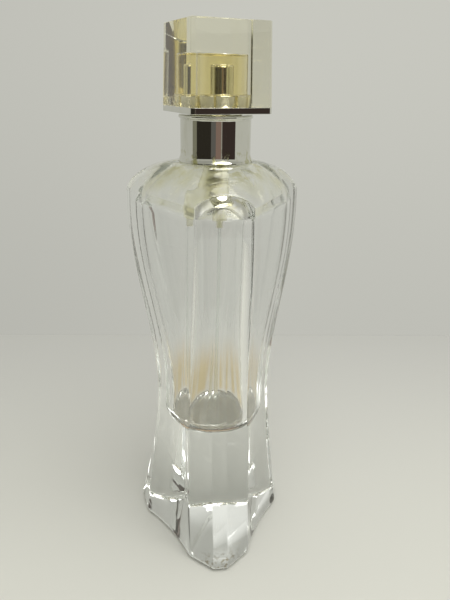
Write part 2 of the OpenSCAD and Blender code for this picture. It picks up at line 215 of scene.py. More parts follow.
def round_half(c, r, places, dip=0.0):
    """Half a corner of the outline round three circles of radius r, whose centres are c from the axis.

    places are fractions of its length. dip hollows the straight part.
    """
    arc, straight = r * SIDE_ANGLE, c * math.sin(SIDE_ANGLE)
    points = []
    for place in places:
        s = place * (arc + straight)
        if s <= arc:
            points.append(np.array([0, c]) + r * normal(s / r))
        else:
            k = (s - arc) / max(straight, 1e-6)
            turn = np.array([0, c]) + r * normal(SIDE_ANGLE)
            points.append(turn + (s - arc) * along(SIDE_ANGLE)
                          - dip * (1 - (1 - k) ** 2) * normal(SIDE_ANGLE))
    return points


EVEN = [i / HALF_N for i in range(HALF_N + 1)]


def dome_half(t):
    """The same half outline on the dome: t is 0 at the shoulder's edge and 1 at the neck.

    The facet's plane cuts the dome in an arch, and the outline's points gather at that cut.
    """
    c = DOME_CENTRE * (1 - t)
    cut = (SHOULDER_REACH - c) / SOFT_R
    crease = math.acos(min(1.0, cut))
    spread = clamp((t - DOME_APEX) / 0.12)
    gather = math.radians(3.5)
    low = max(crease - gather, math.radians(1), spread * SIDE_ANGLE * FLAT_N / ROUND_N)
    high = max(crease + gather, spread * SIDE_ANGLE * (FLAT_N + CREASE_N) / ROUND_N)
    angles = [low * i / FLAT_N for i in range(FLAT_N)]
    angles += [blend(low, high, i / CREASE_N) for i in range(CREASE_N)]
    angles += [blend(high, SIDE_ANGLE, i / EDGE_N) for i in range(EDGE_N + 1)]
    arc, straight = SOFT_R * SIDE_ANGLE, c * math.sin(SIDE_ANGLE)
    places = [a * SOFT_R / (arc + straight) for a in angles]
    places += [(arc + straight * i / SIDE_N) / (arc + straight) for i in range(1, SIDE_N + 1)]
    even = ease((t - 0.3) / 0.6)
    places = [blend(p, e, even) for p, e in zip(places, EVEN)]
    points = round_half(c, SOFT_R, places, SIDE_DIP * (1 - t))
    for i, (x, y) in enumerate(points):
        if y > SHOULDER_REACH - 1:
            points[i] = np.array([x, smooth_min(y, SHOULDER_REACH, CREASE_BLEND)])
    return points


def dome_height(t):
    """Share of the dome's rise at t."""
    return (1 - (1 - t) ** 2) ** DOME_POWER


def whole(half, z, scale=1.0):
    """A ring of points from its half corner: mirrored, then repeated for each corner."""
    n = len(half) - 1
    ring = []
    for k in range(CORNERS):
        a = TURN / CORNERS * k
        for i in range(-n + 1, n + 1):
            x, y = half[abs(i)] * scale
            x = math.copysign(x, i) if i else 0.0
            ring.append((x * math.cos(a) + y * math.sin(a), x * math.sin(a) - y * math.cos(a), z))
    return ring


def circle(r, z):
    return whole(round_half(0.0, r, EVEN), z)


def side_at(z):
    """Distance of the middle of a side from the axis, outside."""
    return float(np.linalg.norm(body_half(z)[-1]))


def hollow(z, inset=0.0):
    """A ring on the hollow's wall at height z, drawn in by inset."""
    s = side_at(z) - SIDE_WALL - inset
    t = reach(z) - FACET_WALL - inset
    c = max(0.5, 2 * (t - s))
    return whole(round_half(c, s - c / 2, EVEN), z)


def outer_rings():
    """From the foot up to the neck."""
    heel, walls, dome = 8, 92, 36
    rings = []
    for i in range(heel):
        z = HEEL_R * (1 - math.cos(math.pi / 2 * i / heel))
        inset = HEEL_R - math.sqrt(HEEL_R ** 2 - (HEEL_R - z) ** 2)
        rings.append(whole(body_half(z), z, 1 - inset / FOOT_REACH))
    rings += [whole(body_half(z), z) for z in np.linspace(HEEL_R, SHOULDER_Z, walls)]
    places = {round((i / dome) ** 1.5, 4) for i in range(1, dome + 1)}
    places |= {round(DOME_APEX + 0.005 * i, 4) for i in range(-6, 7)}
    rings += [whole(dome_half(t), SHOULDER_Z + DOME_RISE * dome_height(t)) for t in sorted(places)]
    return rings


def arc_points(centre, r, first, last, count=6):
    return [(centre[0] + r * math.cos(a), centre[1] + r * math.sin(a))
            for a in np.linspace(first, last, count)]


def neck_profile():
    """(radius, height) from the foot of the neck, over the bead and down the bore."""
    soft, lip = 0.6, 0.3
    quarter = math.pi / 2
    return ([(r, DOME_TOP) for r in (9.4, 8.2)]    # rings that carry the dome to the neck
            + arc_points((NECK_R + soft, DOME_TOP + soft), soft, -quarter, -2 * quarter)
            + [(NECK_R, BEAD_Z - 0.2)]
            + arc_points((BEAD_R - soft, BEAD_Z + soft), soft, -quarter, 0)
            + arc_points((BEAD_R - soft, NECK_TOP - soft), soft, 0, quarter)
            + arc_points((BORE_R + lip, NECK_TOP - lip), lip, quarter, 2 * quarter)
            + [(BORE_R, BORE_FOOT), (BORE_R, CAVITY_TOP + 0.1)])


def hollow_rings():
    """From the bore down to the floor."""
    lid, wall, floor = 26, 52, 10
    s = side_at(CAVITY_SHOULDER) - SIDE_WALL
    c = 2 * (reach(CAVITY_SHOULDER) - FACET_WALL - s)
    rings = []
    for i in range(lid - 1, 0, -1):
        t = (i / lid) ** 1.4
        z = CAVITY_SHOULDER + (CAVITY_TOP - CAVITY_SHOULDER) * dome_height(t)
        rings.append(whole(round_half(c * (1 - t), blend(s - c / 2, BORE_R - 0.5, t), EVEN), z))
    rings += [hollow(z) for z in np.linspace(CAVITY_SHOULDER, FLOOR_Z + FLOOR_R, wall)]
    for i in range(1, floor + 1):
        a = math.pi / 2 * i / floor
        rings.append(hollow(FLOOR_Z + FLOOR_R * (1 - math.sin(a)), FLOOR_R * (1 - math.cos(a))))
    return rings


# ---------------------------------------------------------------- meshes

def link_object(name, data):
    obj = bpy.data.objects.new(name, data)
    bpy.context.scene.collection.objects.link(obj)
    return obj


def new_object(name, vertices, faces):
    """A smooth-shaded object from points in millimetres."""
    mesh = bpy.data.meshes.new(name)
    mesh.from_pydata([tuple(c * MM for c in v) for v in vertices], [], faces)
    mesh.validate()
    bm = bmesh.new()
    bm.from_mesh(mesh)
    bmesh.ops.recalc_face_normals(bm, faces=bm.faces)
    for face in bm.faces:
        face.smooth = True
    bm.to_mesh(mesh)
    bm.free()
    return link_object(name, mesh)


def loft(name, rings):
    """A closed skin through rings that have the same number of points."""
    n = len(rings[0])
    vertices = [p for ring in rings for p in ring]
    faces = []
    for k in range(len(rings) - 1):
        for i in range(n):
            j = (i + 1) % n
            faces.append((k * n + i, k * n + j, (k + 1) * n + j, (k + 1) * n + i))
    faces.append(tuple(range(n)))
    faces.append(tuple(range(len(vertices) - n, len(vertices))))
    return new_object(name, vertices, faces)


def lathe(name, profile, segments=144):
    """Turns a closed profile of (radius, height) about the axis. Points on the axis are shared."""
    vertices, columns = [], []
    for r, z in profile:
        if r < 1e-6:
            columns.append([len(vertices)] * segments)
            vertices.append((0, 0, z))
        else:
            columns.append(list(range(len(vertices), len(vertices) + segments)))
            vertices += [(r * math.cos(TURN * i / segments), r * math.sin(TURN * i / segments), z)
                         for i in range(segments)]
    faces = []
    for k in range(len(profile)):
        a, b = columns[k], columns[(k + 1) % len(profile)]
        for i in range(segments):
            j = (i + 1) % segments
            corners = [a[i], a[j], b[j], b[i]]
            corners = [v for m, v in enumerate(corners) if v not in corners[:m]]
            if len(corners) > 2:
                faces.append(tuple(corners))
    return new_object(name, vertices, faces)


def rounded(points, steps=4):
    """A closed profile of (x, y, corner radius) with its corners rounded."""
    result = []
    n = len(points)
    for i in range(n):
        p = Vector(points[i][:2])
        radius = points[i][2] if len(points[i]) > 2 else 0.0
        if radius <= 0:
            result.append(tuple(p))
            continue
        to_last = Vector(points[i - 1][:2]) - p
        to_next = Vector(points[(i + 1) % n][:2]) - p
        u, v = to_last.normalized(), to_next.normalized()
        half = u.angle(v) / 2
        reach_back = min(radius / math.tan(half), 0.49 * to_last.length, 0.49 * to_next.length)
        radius = reach_back * math.tan(half)
        centre = p + (u + v).normalized() * (radius / math.sin(half))
        a = p + u * reach_back - centre
        b = p + v * reach_back - centre
        for k in range(steps + 1):
            ray = a.lerp(b, k / steps).normalized() * radius
            result.append(tuple(centre + ray))
    return result


def chamfered_square(width, chamfer):
    h = width / 2
    c = h - chamfer
    return [(c, -h), (h, -c), (h, c), (c, h), (-c, h), (-h, c), (-h, -c), (-c, -h)]


def apply_modifier(obj, kind, **settings):
    """Replaces the object's mesh by what a modifier of that kind makes of it."""
    modifier = obj.modifiers.new(kind.lower(), kind)
    for key, value in settings.items():
        setattr(modifier, key, value)
    graph = bpy.context.evaluated_depsgraph_get()
    mesh = bpy.data.meshes.new_from_object(obj.evaluated_get(graph))
    obj.modifiers.clear()
    old = obj.data
    obj.data = mesh
    bpy.data.meshes.remove(old)


def sharpen(obj, angle):
    """Smooth faces with edges over that angle, in degrees, kept sharp."""
    bm = bmesh.new()
    bm.from_mesh(obj.data)
    for face in bm.faces:
        face.smooth = True
    for edge in bm.edges:
        edge.smooth = not (edge.is_manifold and edge.calc_face_angle(0) > math.radians(angle))
    bm.to_mesh(obj.data)
    bm.free()


def square_with_bore(name, outline, bottom, top, bores, bevel, turn, taper=1.0):
    """A prism with stepped bores from below: bores is [(radius, top of that bore)], widest first.

    A bore whose top is the prism's goes right through. turn is in degrees, and taper is the top's
    size against the bottom's.
    """
    segments = 144
    n = len(outline)
    a0 = math.radians(turn)
    corner = [(x * math.cos(a0) - y * math.sin(a0), x * math.sin(a0) + y * math.cos(a0)) for x, y in outline]
    bm = bmesh.new()
    low = [bm.verts.new((x, y, bottom)) for x, y in corner]
    high = [bm.verts.new((x * taper, y * taper, top)) for x, y in corner]
    rims = [bm.edges.new((low[i], low[(i + 1) % n])) for i in range(n)]
    tops = [bm.edges.new((high[i], high[(i + 1) % n])) for i in range(n)]
    for i in range(n):
        bm.faces.new((low[i], low[(i + 1) % n], high[(i + 1) % n], high[i]))
    levels = []
    z = bottom
    for r, end in bores:
        levels += [(r, z), (r, end)]
        z = end
    loops = []
    for r, height in levels:
        spots = [(r * math.cos(TURN * i / segments), r * math.sin(TURN * i / segments))
                 for i in range(segments)]
        loops.append([bm.verts.new((x, y, height)) for x, y in spots])
    for a, b in zip(loops, loops[1:]):
        for i in range(segments):
            j = (i + 1) % segments
            bm.faces.new((a[i], a[j], b[j], b[i]))
    ring = [bm.edges.get((loops[0][i], loops[0][(i + 1) % segments])) for i in range(segments)]
    bmesh.ops.triangle_fill(bm, use_beauty=True, edges=rims + ring)
    if bores[-1][1] >= top:
        last = [bm.edges.get((loops[-1][i], loops[-1][(i + 1) % segments])) for i in range(segments)]
        bmesh.ops.triangle_fill(bm, use_beauty=True, edges=tops + last)
    else:
        bm.faces.new(loops[-1])
        bm.faces.new(high)
    bmesh.ops.recalc_face_normals(bm, faces=bm.faces)
    bmesh.ops.scale(bm, vec=(MM, MM, MM), verts=bm.verts)
    mesh = bpy.data.meshes.new(name)
    bm.to_mesh(mesh)
    bm.free()
    obj = link_object(name, mesh)
    apply_modifier(obj, "BEVEL", width=bevel * MM, segments=3, limit_method="ANGLE",
                   angle_limit=math.radians(30), harden_normals=False)
    sharpen(obj, 28)
    return obj


# ---------------------------------------------------------------- materials

def feed(tree, socket, value):
    """Links a socket to the value if that is another socket, or sets it."""
    if isinstance(value, bpy.types.NodeSocket):
        tree.links.new(value, socket)
    else:
        socket.default_value = value


def add(tree, kind, **inputs):
    """A node with its inputs fed; i0 and i1 stand for inputs that have no name of their own."""
    node = tree.nodes.new(kind)
    for key, value in inputs.items():
        feed(tree, node.inputs[int(key[1])] if key in ("i0", "i1") else node.inputs[key], value)
    return node


def new_material(name, **principled):
    """A material with a Principled shader; names in principled use _ for spaces."""
    material = bpy.data.materials.new(name)
    material.use_nodes = True
    tree = material.node_tree
    tree.nodes.clear()
    shader = add(tree, "ShaderNodeBsdfPrincipled")
    for key, value in principled.items():
        shader.inputs[key.replace("_", " ").title().replace("Ior", "IOR")].default_value = value
    out = add(tree, "ShaderNodeOutputMaterial")
    tree.links.new(shader.outputs[0], out.inputs["Surface"])
    return material, tree, shader, out


def coords(tree, stretch=(1, 1, 1)):
    """Object coordinates in millimetres, stretched."""
    source = add(tree, "ShaderNodeTexCoord").outputs["Object"]
    mapping = add(tree, "ShaderNodeMapping", Vector=source, Scale=tuple(1000 * s for s in stretch))
    return mapping.outputs[0]


def noise(tree, vector, size, detail=3.0):
    """Noise whose features are about that many millimetres across."""
    node = add(tree, "ShaderNodeTexNoise", Vector=vector, Scale=1 / size, Detail=detail, Roughness=0.55)
    return node.outputs["Fac"]


def ramp(tree, fac, low, high, out_low=0.0, out_high=1.0):
    """A smooth step from out_low, where fac is low, to out_high, where it is high."""
    node = add(tree, "ShaderNodeMapRange", Value=fac)
    node.interpolation_type = "SMOOTHSTEP"
    for key, value in (("From Min", low), ("From Max", high), ("To Min", out_low), ("To Max", out_high)):
        node.inputs[key].default_value = value
    return node.outputs[0]


def maths(tree, operation, first, *rest):
    """The operation on the values, taken in turn."""
    for value in rest:
        node = tree.nodes.new("ShaderNodeMath")
        node.operation = operation
        feed(tree, node.inputs[0], first)
        feed(tree, node.inputs[1], value)
        first = node.outputs[0]
    return first


def mix_colour(tree, fac, a, b):
    """From colour a to colour b; each is three numbers or a socket."""
    node = tree.nodes.new("ShaderNodeMix")
    node.data_type = "RGBA"
    for place, value in ((0, fac), (6, a), (7, b)):
        feed(tree, node.inputs[place], (*value, 1.0) if isinstance(value, tuple) else value)
    return node.outputs[2]


def colour_from(tree, shader, fac, a, b):
    feed(tree, shader.inputs["Base Color"], mix_colour(tree, fac, a, b))


def rough_from(tree, shader, value):
    feed(tree, shader.inputs["Roughness"], value)


def bump(tree, shader, height, strength, distance):
    node = add(tree, "ShaderNodeBump", Height=height, Strength=strength, Distance=distance * MM)
    tree.links.new(node.outputs[0], shader.inputs["Normal"])


def part_of(tree, vector, axis):
    return add(tree, "ShaderNodeSeparateXYZ", Vector=vector).outputs[axis]


def absorb(tree, out, colour, density):
    """Tints the inside of a piece; density is per metre."""
    node = add(tree, "ShaderNodeVolumeAbsorption")
    node.inputs["Color"].default_value = (*colour, 1)
    node.inputs["Density"].default_value = density
    tree.links.new(node.outputs[0], out.inputs["Volume"])


def glass_material():
    """Pressed flint glass with faint waves.

    It bears handling smears, stains of dried perfume under the collar and scuffs on the heel. The far wall
    of the hollow is tinted peach-amber in streaks.
    """
    material, tree, shader, out = new_material("flint_glass", ior=1.5, transmission_weight=1.0)
    mm = coords(tree)
    z = part_of(tree, mm, "Z")
    y = part_of(tree, mm, "Y")
    smears = ramp(tree, noise(tree, mm, 9), 0.56, 0.74)
    stain = maths(tree, "MULTIPLY", ramp(tree, noise(tree, mm, 3.2), 0.46, 0.66), ramp(tree, z, 119.5, 124.5))
    cast = maths(tree, "MULTIPLY", ramp(tree, noise(tree, mm, 8), 0.3, 0.65), ramp(tree, z, 115, 120))
    scuff = maths(tree, "MULTIPLY", ramp(tree, noise(tree, mm, 0.9, detail=5), 0.52, 0.60),
                  ramp(tree, z, 9, 4), ramp(tree, y, -22, -26))
    streaks = ramp(tree, noise(tree, coords(tree, (1, 1, 0.08)), 4.2, detail=2.0), 0.36, 0.58, 0.3, 1.0)
    # tints the hollow's far wall peach-amber in streaks, from just above the floor up to a set height, and
    # roughens it there
    far_wall_tint = maths(tree, "MULTIPLY", ramp(tree, z, FAR_TINT_TOP, FAR_TINT_TOP - 14),
                 ramp(tree, z, FLOOR_Z + 1, FLOOR_Z + 4), streaks, ramp(tree, y, -4, 1),
                 inside_wall(tree, mm))
    colour = mix_colour(tree, smears, (0.985, 0.992, 0.985), (0.965, 0.972, 0.955))
    colour = mix_colour(tree, cast, colour, (0.93, 0.92, 0.76))
    colour = mix_colour(tree, stain, colour, (0.72, 0.68, 0.34))
    colour = mix_colour(tree, scuff, colour, (0.30, 0.24, 0.15))
    colour_from(tree, shader, far_wall_tint, colour, (0.88, 0.62, 0.24))
    marks = maths(tree, "MAXIMUM", stain, scuff)
    rough_from(tree, shader, maths(tree, "MAXIMUM", ramp(tree, smears, 0, 1, 0.0, 0.02),
                                   ramp(tree, marks, 0, 1, 0.0, 0.25), ramp(tree, far_wall_tint, 0, 1, 0.0, 0.12)))
    bump(tree, shader, noise(tree, coords(tree, (1, 1, 0.35)), 14, detail=1.0), 0.12, 0.5)
    absorb(tree, out, (0.80, 0.90, 0.82), 2.5)
    return material


def inside_wall(tree, mm):
    """1 on the hollow's wall, which low down lies nearer the axis than any of the outside; 0 elsewhere."""
    flat = add(tree, "ShaderNodeVectorMath", i0=mm, i1=(1, 1, 0))
    flat.operation = "MULTIPLY"
    length = add(tree, "ShaderNodeVectorMath", i0=flat.outputs["Vector"])
    length.operation = "LENGTH"
    return ramp(tree, length.outputs["Value"], WAIST_REACH - 1.3, WAIST_REACH - 1.7)


def perfume_material():
    """Nearly spent perfume, amber where it lies deep."""
    material, tree, shader, out = new_material("perfume", ior=1.36, transmission_weight=1.0, roughness=0.0)
    cloud = noise(tree, coords(tree), 4)
    colour_from(tree, shader, cloud, (1.0, 0.998, 0.99), (0.99, 0.985, 0.97))
    bump(tree, shader, cloud, 0.05, 0.2)
    absorb(tree, out, (0.97, 0.60, 0.18), 45.0)
    return material


def acrylic_material():
    """Cast acrylic that has yellowed, with hairline scratches."""
    material, tree, shader, out = new_material("yellowed_acrylic", ior=1.49, transmission_weight=1.0)
    mm = coords(tree)
    hairs = noise(tree, coords(tree, (0.2, 1.0, 3.0)), 0.8, detail=4.0)
    smears = ramp(tree, noise(tree, mm, 6), 0.5, 0.72)
    colour_from(tree, shader, smears, (0.99, 0.985, 0.95), (0.975, 0.965, 0.91))
    rough_from(tree, shader, ramp(tree, hairs, 0.62, 0.75, 0.0, 0.06))
    bump(tree, shader, noise(tree, mm, 11, detail=1.0), 0.06, 0.3)
    absorb(tree, out, (0.90, 0.86, 0.42), 11.0)
    return material


def amber_material():
    """Translucent amber ionomer."""
    material, tree, shader, out = new_material("amber_ionomer", ior=1.5, transmission_weight=1.0)
    mottled = noise(tree, coords(tree), 5)
    colour_from(tree, shader, mottled, (0.99, 0.96, 0.86), (0.985, 0.94, 0.80))
    rough_from(tree, shader, ramp(tree, mottled, 0.3, 0.7, 0.0, 0.02))
    bump(tree, shader, noise(tree, coords(tree, (1, 1, 0.1)), 1.5), 0.08, 0.1)
    absorb(tree, out, (0.96, 0.86, 0.22), 60.0)
    return material


def housing_material():
    """Clear polypropylene with an olive cast from years in perfume.

    Its index is kept low, so that it hardly shows inside the hollow.
    """
    material, tree, shader, out = new_material("stained_polypropylene", ior=1.12, transmission_weight=1.0)
    mm = coords(tree)
    cloud = noise(tree, mm, 3, detail=2)
    colour_from(tree, shader, cloud, (0.95, 0.94, 0.84), (0.92, 0.90, 0.74))
    rough_from(tree, shader, ramp(tree, cloud, 0.3, 0.7, 0.3, 0.45))
    bump(tree, shader, noise(tree, mm, 0.5), 0.1, 0.02)
    return material


def chrome_material():
    """Silver plating with wiped smears and dull spots where perfume has dried."""
    material, tree, shader, out = new_material("plated_chrome", metallic=1.0)
    mm = coords(tree)
    smears = ramp(tree, noise(tree, coords(tree, (1, 1, 0.4)), 4), 0.45, 0.75)
    spots = maths(tree, "MULTIPLY", ramp(tree, noise(tree, mm, 1.8, detail=5), 0.52, 0.66),
                  ramp(tree, part_of(tree, mm, "Z"), 130.5, 125.5))
    plated = mix_colour(tree, smears, (0.74, 0.74, 0.68), (0.68, 0.68, 0.60))
    colour_from(tree, shader, spots, plated, (0.46, 0.45, 0.22))
    rough_from(tree, shader, maths(tree, "MAXIMUM", ramp(tree, smears, 0, 1, 0.025, 0.09),
                                   ramp(tree, spots, 0, 1, 0.0, 0.4)))
    bump(tree, shader, spots, 0.25, 0.05)
    return material


def solid_material(name, light, dark, size, rough, metallic=0.0):
    """An opaque material mottled between two colours, with a fine grain. rough is (least, most)."""
    material, tree, shader, out = new_material(name, metallic=metallic)
    mm = coords(tree)
    colour_from(tree, shader, ramp(tree, noise(tree, mm, size), 0.35, 0.65), light, dark)
    grain = noise(tree, mm, 0.4, detail=4)
    rough_from(tree, shader, ramp(tree, grain, 0.3, 0.7, *rough))
    bump(tree, shader, grain, 0.3, 0.02)
    return material


def tube_material():
    """Translucent tube, drawn lengthwise. Its index is kept low, as the housing's is."""
    material, tree, shader, out = new_material("polyethylene_tube", ior=1.25, transmission_weight=1.0)
    streaks = noise(tree, coords(tree, (1, 1, 0.05)), 0.5)
    colour_from(tree, shader, streaks, (0.97, 0.98, 0.97), (0.93, 0.95, 0.94))
    rough_from(tree, shader, ramp(tree, streaks, 0.3, 0.7, 0.02, 0.08))
    return material


def table_material():
    """Pale and matt, with painted shade that greys it towards the far edge, standing in for the lamp's
    falloff.
    """
    material, tree, shader, out = new_material("pale_table", roughness=0.6)
    mm = coords(tree)
    near_tone = mix_colour(tree, noise(tree, mm, 60, detail=2), (0.63, 0.63, 0.585), (0.615, 0.615, 0.57))
    # painted shade: the colour darkens towards the far edge, where less light falls
    far = ramp(tree, part_of(tree, mm, "Y"), -60, 160)
    colour_from(tree, shader, far, near_tone, (0.545, 0.545, 0.525))
    return material


def glow_material(name, colour):
    """An even glow of that colour."""
    material = bpy.data.materials.new(name)
    material.use_nodes = True
    tree = material.node_tree
    tree.nodes.clear()
    shader = add(tree, "ShaderNodeEmission", Color=(*colour, 1), Strength=1.0)
    out = add(tree, "ShaderNodeOutputMaterial")
    tree.links.new(shader.outputs[0], out.inputs["Surface"])
    return material


def dress(obj, material):
    obj.data.materials.clear()
    obj.data.materials.append(material)


# ---------------------------------------------------------------- pieces

GLASS = glass_material()
PERFUME = perfume_material()
ACRYLIC = acrylic_material()
AMBER = amber_material()
CHROME = chrome_material()
TUBE = tube_material()
HOUSING = housing_material()
WHITE = solid_material("natural_polypropylene", (0.86, 0.86, 0.83), (0.78, 0.78, 0.74), 5, (0.32, 0.45))
RUBBER = solid_material("nitrile_rubber", (0.035, 0.035, 0.037), (0.02, 0.02, 0.02), 2, (0.5, 0.7))
ALUMINIUM = solid_material("rolled_aluminium", (0.80, 0.81, 0.82), (0.72, 0.73, 0.74), 3, (0.2, 0.34), 1.0)
STEEL = solid_material("stainless_wire", (0.62, 0.63, 0.64), (0.5, 0.5, 0.51), 2, (0.18, 0.3), 1.0)
GREY = solid_material("grey_acetal", (0.2, 0.2, 0.21), (0.15, 0.15, 0.16), 2, (0.3, 0.45))


def span_of(node):
    """Lowest and highest point of a node, and half its width, in millimetres."""
    low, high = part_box(node)
    return low.z / MM, high.z / MM, (high.x - low.x) / 2 / MM


def place(obj, body, node, slot, material):
    dress(obj, material)
    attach(obj, body)
    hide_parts(node)


def make_glass():
    """One closed skin: up the outside, over the neck and down the hollow."""
    rings = outer_rings()
    rings += [circle(r, z) for r, z in neck_profile()]
    rings += hollow_rings()
    place(loft("flacon_glass", rings), "bottle", "glass_bottle", "glass", GLASS)


def make_perfume():
    """A puddle whose edge climbs the wall a little. It reaches a hair into the glass that it wets."""
    bottom, top, _ = span_of("perfume_residue")
    depth = top - bottom
    climb, gap, slope = 0.7, 0.15, 1.8
    wall_steps, lip_steps = 8, 7
    rings = []
    for i in range(wall_steps + 1):
        h = (depth + climb) * i / wall_steps
        a = math.acos(1 - min(h, FLOOR_R) / FLOOR_R)
        rings.append(hollow(FLOOR_Z - WET + h, FLOOR_R * (1 - math.sin(a)) - WET))
    for i in range(1, lip_steps + 1):
        t = i / lip_steps
        h = depth + climb * (1 - t) ** 2
        a = math.acos(1 - h / FLOOR_R)
        rings.append(hollow(FLOOR_Z + h, FLOOR_R * (1 - math.sin(a)) + gap + slope * t))
    place(loft("perfume_puddle", rings), "bottle", "perfume_residue", "perfume", PERFUME)


def make_collar():
    """A flared foot, a rolled lip at the top and the stub that the cap grips, turned as one shell."""
    bottom, stub_top, foot_r = span_of("collar")
    wall, rim_h, foot_h, bead, dish = 0.6, 0.4, 2.1, 0.56, 0.12
    hole_r = span_of("actuator_sleeve")[2] + 0.3
    stub_wall, stub_roof = 0.7, 0.8
    steps = 10
    foot = [(COLLAR_R + (foot_r - COLLAR_R) * (1 - i / steps) ** 2, bottom + rim_h + foot_h * i / steps)
            for i in range(1, steps + 1)]
    under = COLLAR_TOP - 2 * bead
    roll = [(COLLAR_R, under - 0.5), (COLLAR_R + 0.02, under - 0.1)]
    roll += [(COLLAR_R - 0.04 + bead * math.cos(a), COLLAR_TOP - bead + bead * math.sin(a))
             for a in np.linspace(-0.42 * math.pi, math.pi / 2, 2 * steps)]
    profile = rounded(
        [(COLLAR_R - wall, bottom, 0.1), (foot_r, bottom, 0.28), (foot_r, bottom + rim_h, 0.1)]
        + foot + roll
        + [(COLLAR_R - wall, COLLAR_TOP - dish), (STUB_R, COLLAR_TOP - dish, 0.15),
           (STUB_R, stub_top, 0.35), (hole_r, stub_top, 0.15), (hole_r, stub_top - stub_roof, 0.1),
           (STUB_R - stub_wall, stub_top - stub_roof, 0.2), (STUB_R - stub_wall, COLLAR_TOP - wall, 0.2),
           (COLLAR_R - wall, COLLAR_TOP - wall, 0.2)])
    place(lathe("chrome_collar", profile, 192), "bottle", "collar", "chrome", CHROME)


def make_sleeve():
    """A thin cap-shaped shell, drilled for the nozzle."""
    bottom, top, r = span_of("actuator_sleeve")
    skin = 0.4
    obj = lathe("spray_head_sleeve", rounded(
        [(r - skin, bottom, 0.1), (r, bottom, 0.1), (r, top, 0.5), (0, top),
         (0, top - skin), (r - skin, top - skin, 0.2)], 6))
    jet_low, jet_high, jet_half = span_of("nozzle_insert")
    jet_r = jet_half + 0.05
    drill = lathe("drill", [(0, 0), (jet_r, 0), (jet_r, r + 1), (0, r + 1)], 48)
    lift = Matrix.Translation((0, 0, (jet_low + jet_high) / 2 * MM))
    drill.data.transform(lift @ Matrix.Rotation(-math.pi / 2, 4, "X"))
    apply_modifier(obj, "BOOLEAN", object=drill, operation="DIFFERENCE", solver="EXACT")
    bpy.data.objects.remove(drill)
    sharpen(obj, 35)
    place(obj, "spray_head", "actuator_sleeve", "chrome", CHROME)


def cap_width():
    """Width of the square cap, worked out from the box of the plate as it stands turned."""
    half = span_of("cap_plate")[2]
    a = math.radians(CAP_TURN)
    return 2 * (half + CAP_CHAMFER * math.sin(a)) / (math.cos(a) + math.sin(a))


def make_plate():
    bottom, top, _ = span_of("cap_plate")
    outline = chamfered_square(cap_width(), CAP_CHAMFER)
    obj = square_with_bore("chrome_plate", outline, bottom, top, [(PLATE_HOLE_R, top)], 0.12, CAP_TURN)
    place(obj, "cap", "cap_plate", "chrome", CHROME)


def make_block():
    """It overlaps the insert and the plate by a hair, so that light passes as where they are cemented."""
    bottom, top, _ = span_of("cap_block")
    insert_top = span_of("cap_insert")[1]
    width = cap_width()
    bores = [(SKIRT_R - WET, SKIRT_TOP - WET), (PLUG_R - WET, insert_top - WET)]
    obj = square_with_bore("acrylic_block", chamfered_square(width, CAP_CHAMFER), bottom - CLOSE, top, bores,
                           0.16, CAP_TURN, 1 - CAP_TAPER / width)
    place(obj, "cap", "cap_block", "acrylic", ACRYLIC)


def make_insert():
    """Its bores fit the stub and the head so closely that the chrome is seen as if wetted by the plastic."""
    bottom, top, _ = span_of("cap_insert")
    grip_r = STUB_R - CLOSE
    seat = SKIRT_TOP - 0.1
    _, head_top, sleeve_r = span_of("actuator_sleeve")
    head_r = sleeve_r - CLOSE
    roof = head_top + 0.25
    profile = rounded(
        [(grip_r, bottom, 0.12), (SKIRT_R, bottom, 0.12), (SKIRT_R, SKIRT_TOP, 0.12),
         (PLUG_R, SKIRT_TOP, 0.1), (PLUG_R, top, 0.35), (0, top), (0, roof), (head_r, roof, 0.3),
         (head_r, seat, 0.1), (grip_r, seat, 0.05)])
    place(lathe("amber_plug", profile, 160), "cap", "cap_insert", "amber_plastic", AMBER)


def make_dip_tube():
    bottom, top, r = span_of("dip_tube")
    bore = 0.6
    profile = rounded([(bore, bottom, 0.08), (r, bottom, 0.08), (r, top, 0.05), (bore, top, 0.05)])
    place(lathe("dip_tube_pe", profile, 48), "bottle", "dip_tube", "clear_tube", TUBE)


def make_spring():
    """Coil of round wire with its end turns closed."""
    low, high, half = span_of("return_spring")
    wire, sides, per_turn, turns = 0.2, 10, 28, 7
    r = half - wire
    bottom, top = low + wire, high - wire
    closed = 2.1 * wire
    rings = []
    for i in range((turns + 2) * per_turn + 1):
        turn = i / per_turn
        a = TURN * turn
        rise = clamp((turn - 1) / turns)
        z = bottom + closed * (min(turn, 1) + max(0.0, turn - turns - 1)) + rise * (top - bottom - 2 * closed)
        rings.append([((r + wire * math.cos(b)) * math.cos(a), (r + wire * math.cos(b)) * math.sin(a),
                       z + wire * math.sin(b)) for b in (TURN * j / sides for j in range(sides))])
    obj = loft("return_coil", rings)
    place(obj, "bottle", "return_spring", "steel", STEEL)
    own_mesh(obj)


make_glass()
make_perfume()
make_collar()
make_sleeve()
make_plate()
make_block()
make_insert()
make_dip_tube()
make_spring()

KEPT = {
    "neck_gasket": RUBBER, "stem_gasket": RUBBER, "pump_housing": HOUSING, "closure": WHITE,
    "ferrule": ALUMINIUM, "collar_liner": WHITE, "check_ball": STEEL, "piston": WHITE, "stem": WHITE,
    "actuator_core": WHITE, "nozzle_insert": GREY,
}
for node, material in KEPT.items():
    dress(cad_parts[node], material)


# ---------------------------------------------------------------- stage, light and camera

